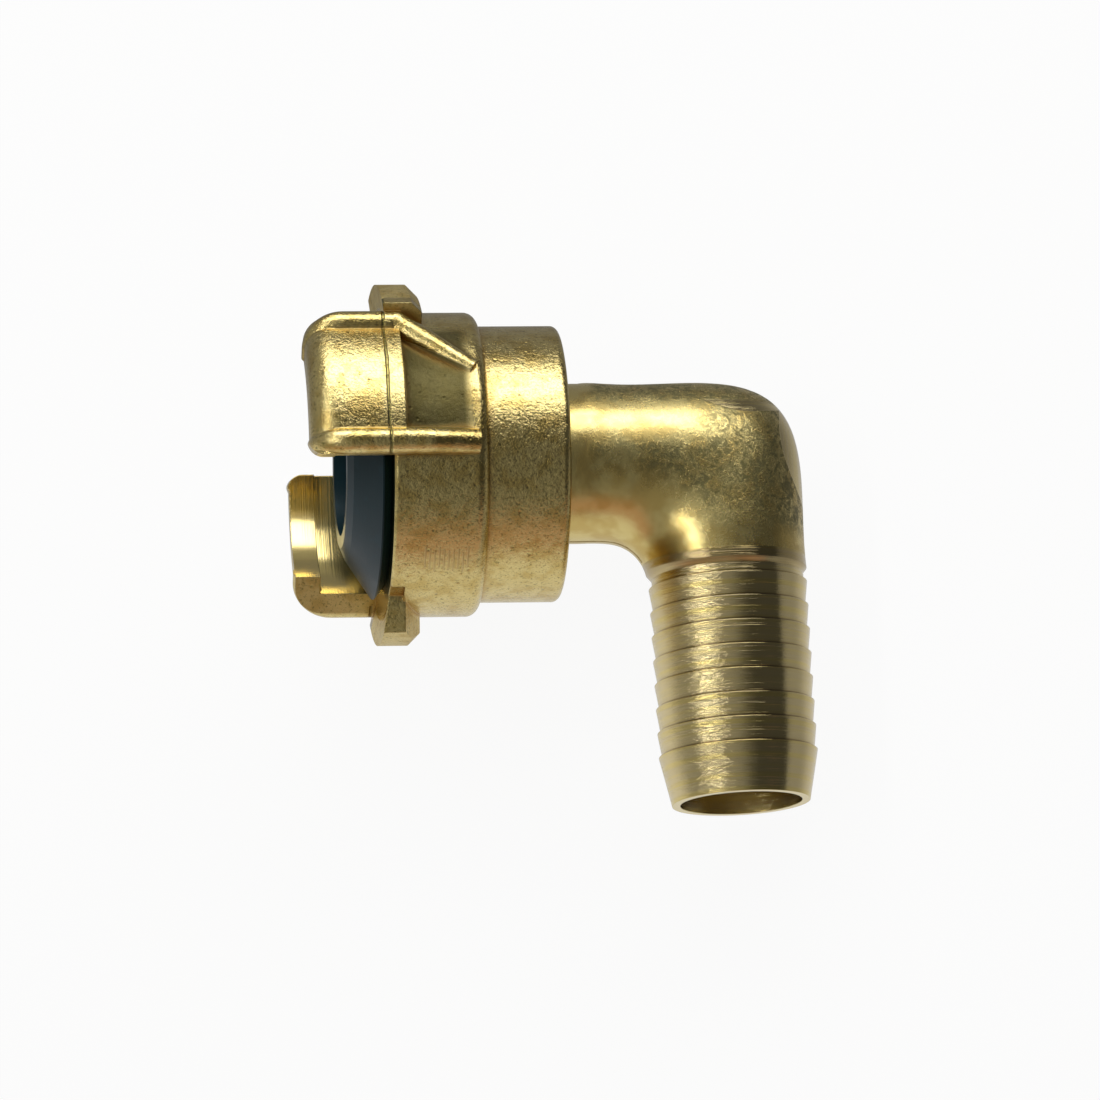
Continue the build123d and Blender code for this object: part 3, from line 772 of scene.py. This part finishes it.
class COUPLING_OT_rim_ticks(bpy.types.Operator):
    """Stands two rows of faint ticks on the rim, one on each side"""

    bl_idname = "coupling.rim_ticks"
    bl_label = "Rim ticks"

    def execute(self, context):
        size = context.scene.coupling_ticks
        shaper = Shaper(
            "rim_tick_row",
            {
                "Count": "Int", "Pitch": "Float", "Start": "Float", "Length": "Float", "Width": "Float",
                "Height": "Float", "Turn": "Float", "Rim Radius": "Float", "Seed": "Int", "Brass": "Material",
            },
        )
        given = shaper.given
        row = shaper.node(
            "GeometryNodeMeshLine",
            Count=given["Count"],
            Start_Location=shaper.vector(given["Start"]),
            Offset=shaper.vector(given["Pitch"]),
        )
        # a tick is a short arc of the rim with a low rounded section
        half = shaper.over(shaper.times(given["Length"], 0.5), given["Rim Radius"])
        arc = shaper.node(
            "GeometryNodeCurveArc",
            {"mode": "RADIUS"},
            Resolution=7,
            Radius=given["Rim Radius"],
            Start_Angle=shaper.times(half, -1.0),
            Sweep_Angle=shaper.times(half, 2.0),
        )
        section = shaper.node("GeometryNodeCurvePrimitiveCircle", Resolution=6, Radius=0.5)
        section_size = shaper.vector(shaper.times(given["Height"], 2.0), given["Width"], 1.0)
        profile = shaper.node("GeometryNodeTransform", Geometry=section.outputs[0], Scale=section_size)
        tick = shaper.node(
            "GeometryNodeCurveToMesh", Curve=arc.outputs[0], Profile_Curve=profile.outputs[0], Fill_Caps=True
        )
        uneven = shaper.node(
            "FunctionNodeRandomValue", {"data_type": "FLOAT"}, Min=-0.035, Max=0.035, Seed=given["Seed"]
        )
        # the arc lies round Z: turn Z to the swivel axis, then round to its place
        lean = shaper.vector(0.0, math.pi / 2, 0.0)
        turn = shaper.plus(shaper.plus(given["Turn"], math.pi / 2), uneven.outputs[1])
        turned_tick = shaper.node("GeometryNodeTransform", Geometry=tick.outputs[0], Rotation=lean)
        ticks = shaper.node(
            "GeometryNodeInstanceOnPoints",
            Points=row.outputs[0],
            Instance=turned_tick.outputs[0],
            Rotation=shaper.vector(turn),
        )
        shaper.close(ticks.outputs[0], given["Brass"])
        place = Matrix.Translation(mating_face) @ coupling_basis.transposed().to_4x4()
        for name, side in (("rim_ticks_a", 0), ("rim_ticks_b", math.pi)):
            piece = shaper.make(
                name,
                bpy.data.meshes.new(name + "_start"),
                {
                    "Count": size.count,
                    "Pitch": size.pitch * MM,
                    "Start": size.start * MM,
                    "Length": size.length * MM,
                    "Width": size.width * MM,
                    "Height": size.height * MM,
                    "Turn": size.turn + side,
                    "Rim Radius": size.rim_radius * MM,
                    "Seed": size.seed,
                    "Brass": bpy.data.materials["head_brass"],
                },
                place,
            )
            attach(piece, "head")
        return {"FINISHED"}


class COUPLING_OT_stage(bpy.types.Operator):
    """Makes the table, the soft lamps, the surroundings and the camera"""

    bl_idname = "coupling.stage"
    bl_label = "Table, lamps and camera"

    def lamp(self, name, towards, along, distance, length, width, brightness):
        """A soft lamp that looks at the coupling, brightness times a white card's, long along a line."""
        data = bpy.data.lights.new(name, "AREA")
        data.shape = "RECTANGLE"
        data.size, data.size_y = width, length
        data.energy = brightness * math.pi * width * length
        lamp = bpy.data.objects.new(name, data)
        towards = Vector(towards).normalized()
        along = (Vector(along) - towards * towards.dot(Vector(along))).normalized()
        turn = Matrix((along.cross(towards), along, towards)).transposed()
        middle = (cad_box[0] + cad_box[1]) / 2
        lamp.matrix_world = Matrix.Translation(middle + towards * distance) @ turn.to_4x4()
        lamp.visible_camera = False
        bpy.context.scene.collection.objects.link(lamp)

    def table(self, look):
        """A pale table, white behind the coupling but with its soft shadow kept."""
        reach = 3.0
        mesh = bpy.data.meshes.new("table")
        corners = [(-reach, -reach, 0), (reach, -reach, 0), (reach, reach, 0), (-reach, reach, 0)]
        mesh.from_pydata([Vector(c) for c in corners], [], [(0, 1, 2, 3)])
        table = bpy.data.objects.new("table", mesh)
        bpy.context.scene.collection.objects.link(table)
        material = bpy.data.materials.new("table_paper")
        material.use_nodes = True
        paper = Nodes(material.node_tree)
        paper.tree.nodes.clear()
        light = paper.node("ShaderNodeLightPath").outputs
        place = paper.parts(paper.node("ShaderNodeTexCoord").outputs["Object"])
        # the sheet looks bright in the metal in front of the coupling, dimmer behind it and to its right
        front = paper.rise(place["Y"], -0.02, 0.06, look.mirrored_front, look.mirrored_behind)
        beside = paper.rise(place["X"], 0.035, 0.075, 1.0, look.mirrored_beside)
        sheet = paper.node("ShaderNodeBsdfDiffuse", Color=(*colour(look.floor), 1))
        glow = paper.node("ShaderNodeEmission", Strength=paper.times(front, beside))
        mirrored = paper.surfaces(light["Is Glossy Ray"], sheet, glow)
        seen = paper.times(light["Is Camera Ray"], look.whiteness)
        both = paper.surfaces(seen, mirrored, paper.node("ShaderNodeEmission"))
        paper.node("ShaderNodeOutputMaterial", Surface=both.outputs[0])
        mesh.materials.append(material)

    def surroundings(self, look):
        """A dim studio with a brown edge low in front, seen as white by the camera."""
        world = bpy.data.worlds.new("studio")
        bpy.context.scene.world = world
        world.use_nodes = True
        sky = Nodes(world.node_tree)
        sky.tree.nodes.clear()
        light = sky.node("ShaderNodeLightPath").outputs
        parts = sky.parts(sky.node("ShaderNodeTexCoord").outputs["Generated"])

        def window(part, start, end, low, high):
            """1 between the two soft steps of one part of the direction, 0 outside them."""
            return sky.times(sky.rise(parts[part], start, end), sky.rise(parts[part], low, high, 1, 0))

        dark = window("X", 0.15, 0.50, 1.5, 1.6)
        wood = sky.times(window("Y", -2, -1.9, -0.75, -0.55), window("Z", -0.1, 0.0, 0.32, 0.44))
        shade = sky.mix(wood, sky.mix(dark, colour(look.room), colour(look.ceiling)), colour(look.brown))
        room = sky.node("ShaderNodeBackground", Color=shade)
        white = sky.node("ShaderNodeBackground", Color=(1, 1, 1, 1))
        pick = sky.surfaces(light["Is Camera Ray"], room, white)
        sky.node("ShaderNodeOutputWorld", Surface=pick.outputs[0])

    def camera(self, look):
        """The camera, above the coupling and a little to one side."""
        yaw, pitch = look.yaw, look.pitch
        back = Vector((-math.sin(yaw) * math.cos(pitch), -math.cos(yaw) * math.cos(pitch), -math.sin(pitch)))
        right = (Vector((1, 0, 0)) - back * back.x).normalized()
        up = back.cross(right)
        turned_right = right * math.cos(look.roll) - up * math.sin(look.roll)
        turned_up = right * math.sin(look.roll) + up * math.cos(look.roll)
        to_table = coupling_basis.transposed()
        middle = Vector((28.0, 0, -12.0))
        aim = Vector((28.0, 0, 0)) + look.aim_right * turned_right - look.aim_down * turned_up - middle
        eye = middle + back * look.distance / MM + aim - back * aim.dot(back)
        data = bpy.data.cameras.new("camera")
        data.sensor_width = 36
        data.lens = look.lens
        data.clip_start, data.clip_end = 0.1, 20
        camera = bpy.data.objects.new("camera", data)
        bpy.context.scene.collection.objects.link(camera)
        turn = Matrix((to_table @ turned_right, to_table @ turned_up, to_table @ back)).transposed()
        camera.matrix_world = Matrix.Translation(on_coupling(*eye)) @ turn.to_4x4()
        bpy.context.scene.camera = camera

    def execute(self, context):
        look = context.scene.coupling_studio
        self.table(look)
        self.surroundings(look)
        self.lamp("key_lamp", (0.15, 0.83, 0.50), (1, 0, 0), 0.8, 1.1, 0.40, look.key)
        self.lamp("strip_lamp", (-0.47, 0.15, 0.85), (0, 1, 0), 0.8, 0.75, 0.05, look.strip)
        self.camera(look)
        context.scene.view_settings.view_transform = "Standard"
        return {"FINISHED"}


class COUPLING_PT_panel(bpy.types.Panel):
    """The coupling's pieces in the sidebar"""

    bl_idname = "COUPLING_PT_panel"
    bl_label = "Swivel Claw Coupling"
    bl_space_type = "VIEW_3D"
    bl_region_type = "UI"
    bl_category = "Coupling"

    def draw(self, context):
        for group, operator in (
            ("coupling_head", COUPLING_OT_head),
            ("coupling_elbow", COUPLING_OT_elbow),
            ("coupling_seal", COUPLING_OT_seal),
            ("coupling_stem", COUPLING_OT_stem_parts),
            ("coupling_flash", COUPLING_OT_flash_line),
            ("coupling_ticks", COUPLING_OT_rim_ticks),
            ("coupling_studio", COUPLING_OT_stage),
        ):
            box = self.layout.box()
            box.operator(operator.bl_idname)
            settings = getattr(context.scene, group)
            for name in settings.bl_rna.properties.keys():
                if name not in ("rna_type", "name"):
                    box.prop(settings, name)


groups = {
    "coupling_head": HeadFinish,
    "coupling_elbow": ElbowFinish,
    "coupling_seal": SealFinish,
    "coupling_stem": StemFinish,
    "coupling_flash": FlashLine,
    "coupling_ticks": RimTicks,
    "coupling_studio": Studio,
}
operators = (
    COUPLING_OT_head,
    COUPLING_OT_elbow,
    COUPLING_OT_seal,
    COUPLING_OT_stem_parts,
    COUPLING_OT_flash_line,
    COUPLING_OT_rim_ticks,
    COUPLING_OT_stage,
)


def register():
    """Registers the settings, the operators and the panel."""
    for name, group in groups.items():
        bpy.utils.register_class(group)
        setattr(bpy.types.Scene, name, PointerProperty(type=group))
    for operator in operators:
        bpy.utils.register_class(operator)
    bpy.utils.register_class(COUPLING_PT_panel)


def unregister():
    """Takes them away again."""
    bpy.utils.unregister_class(COUPLING_PT_panel)
    for operator in reversed(operators):
        bpy.utils.unregister_class(operator)
    for name, group in reversed(groups.items()):
        delattr(bpy.types.Scene, name)
        bpy.utils.unregister_class(group)


def main():
    """Makes the dressed coupling and its stage."""
    register()
    bpy.ops.coupling.head()
    bpy.ops.coupling.elbow()
    bpy.ops.coupling.seal()
    bpy.ops.coupling.stem_parts()
    bpy.ops.coupling.flash_line()
    bpy.ops.coupling.rim_ticks()
    bpy.ops.coupling.stage()


if __name__ == "__main__":
    main()
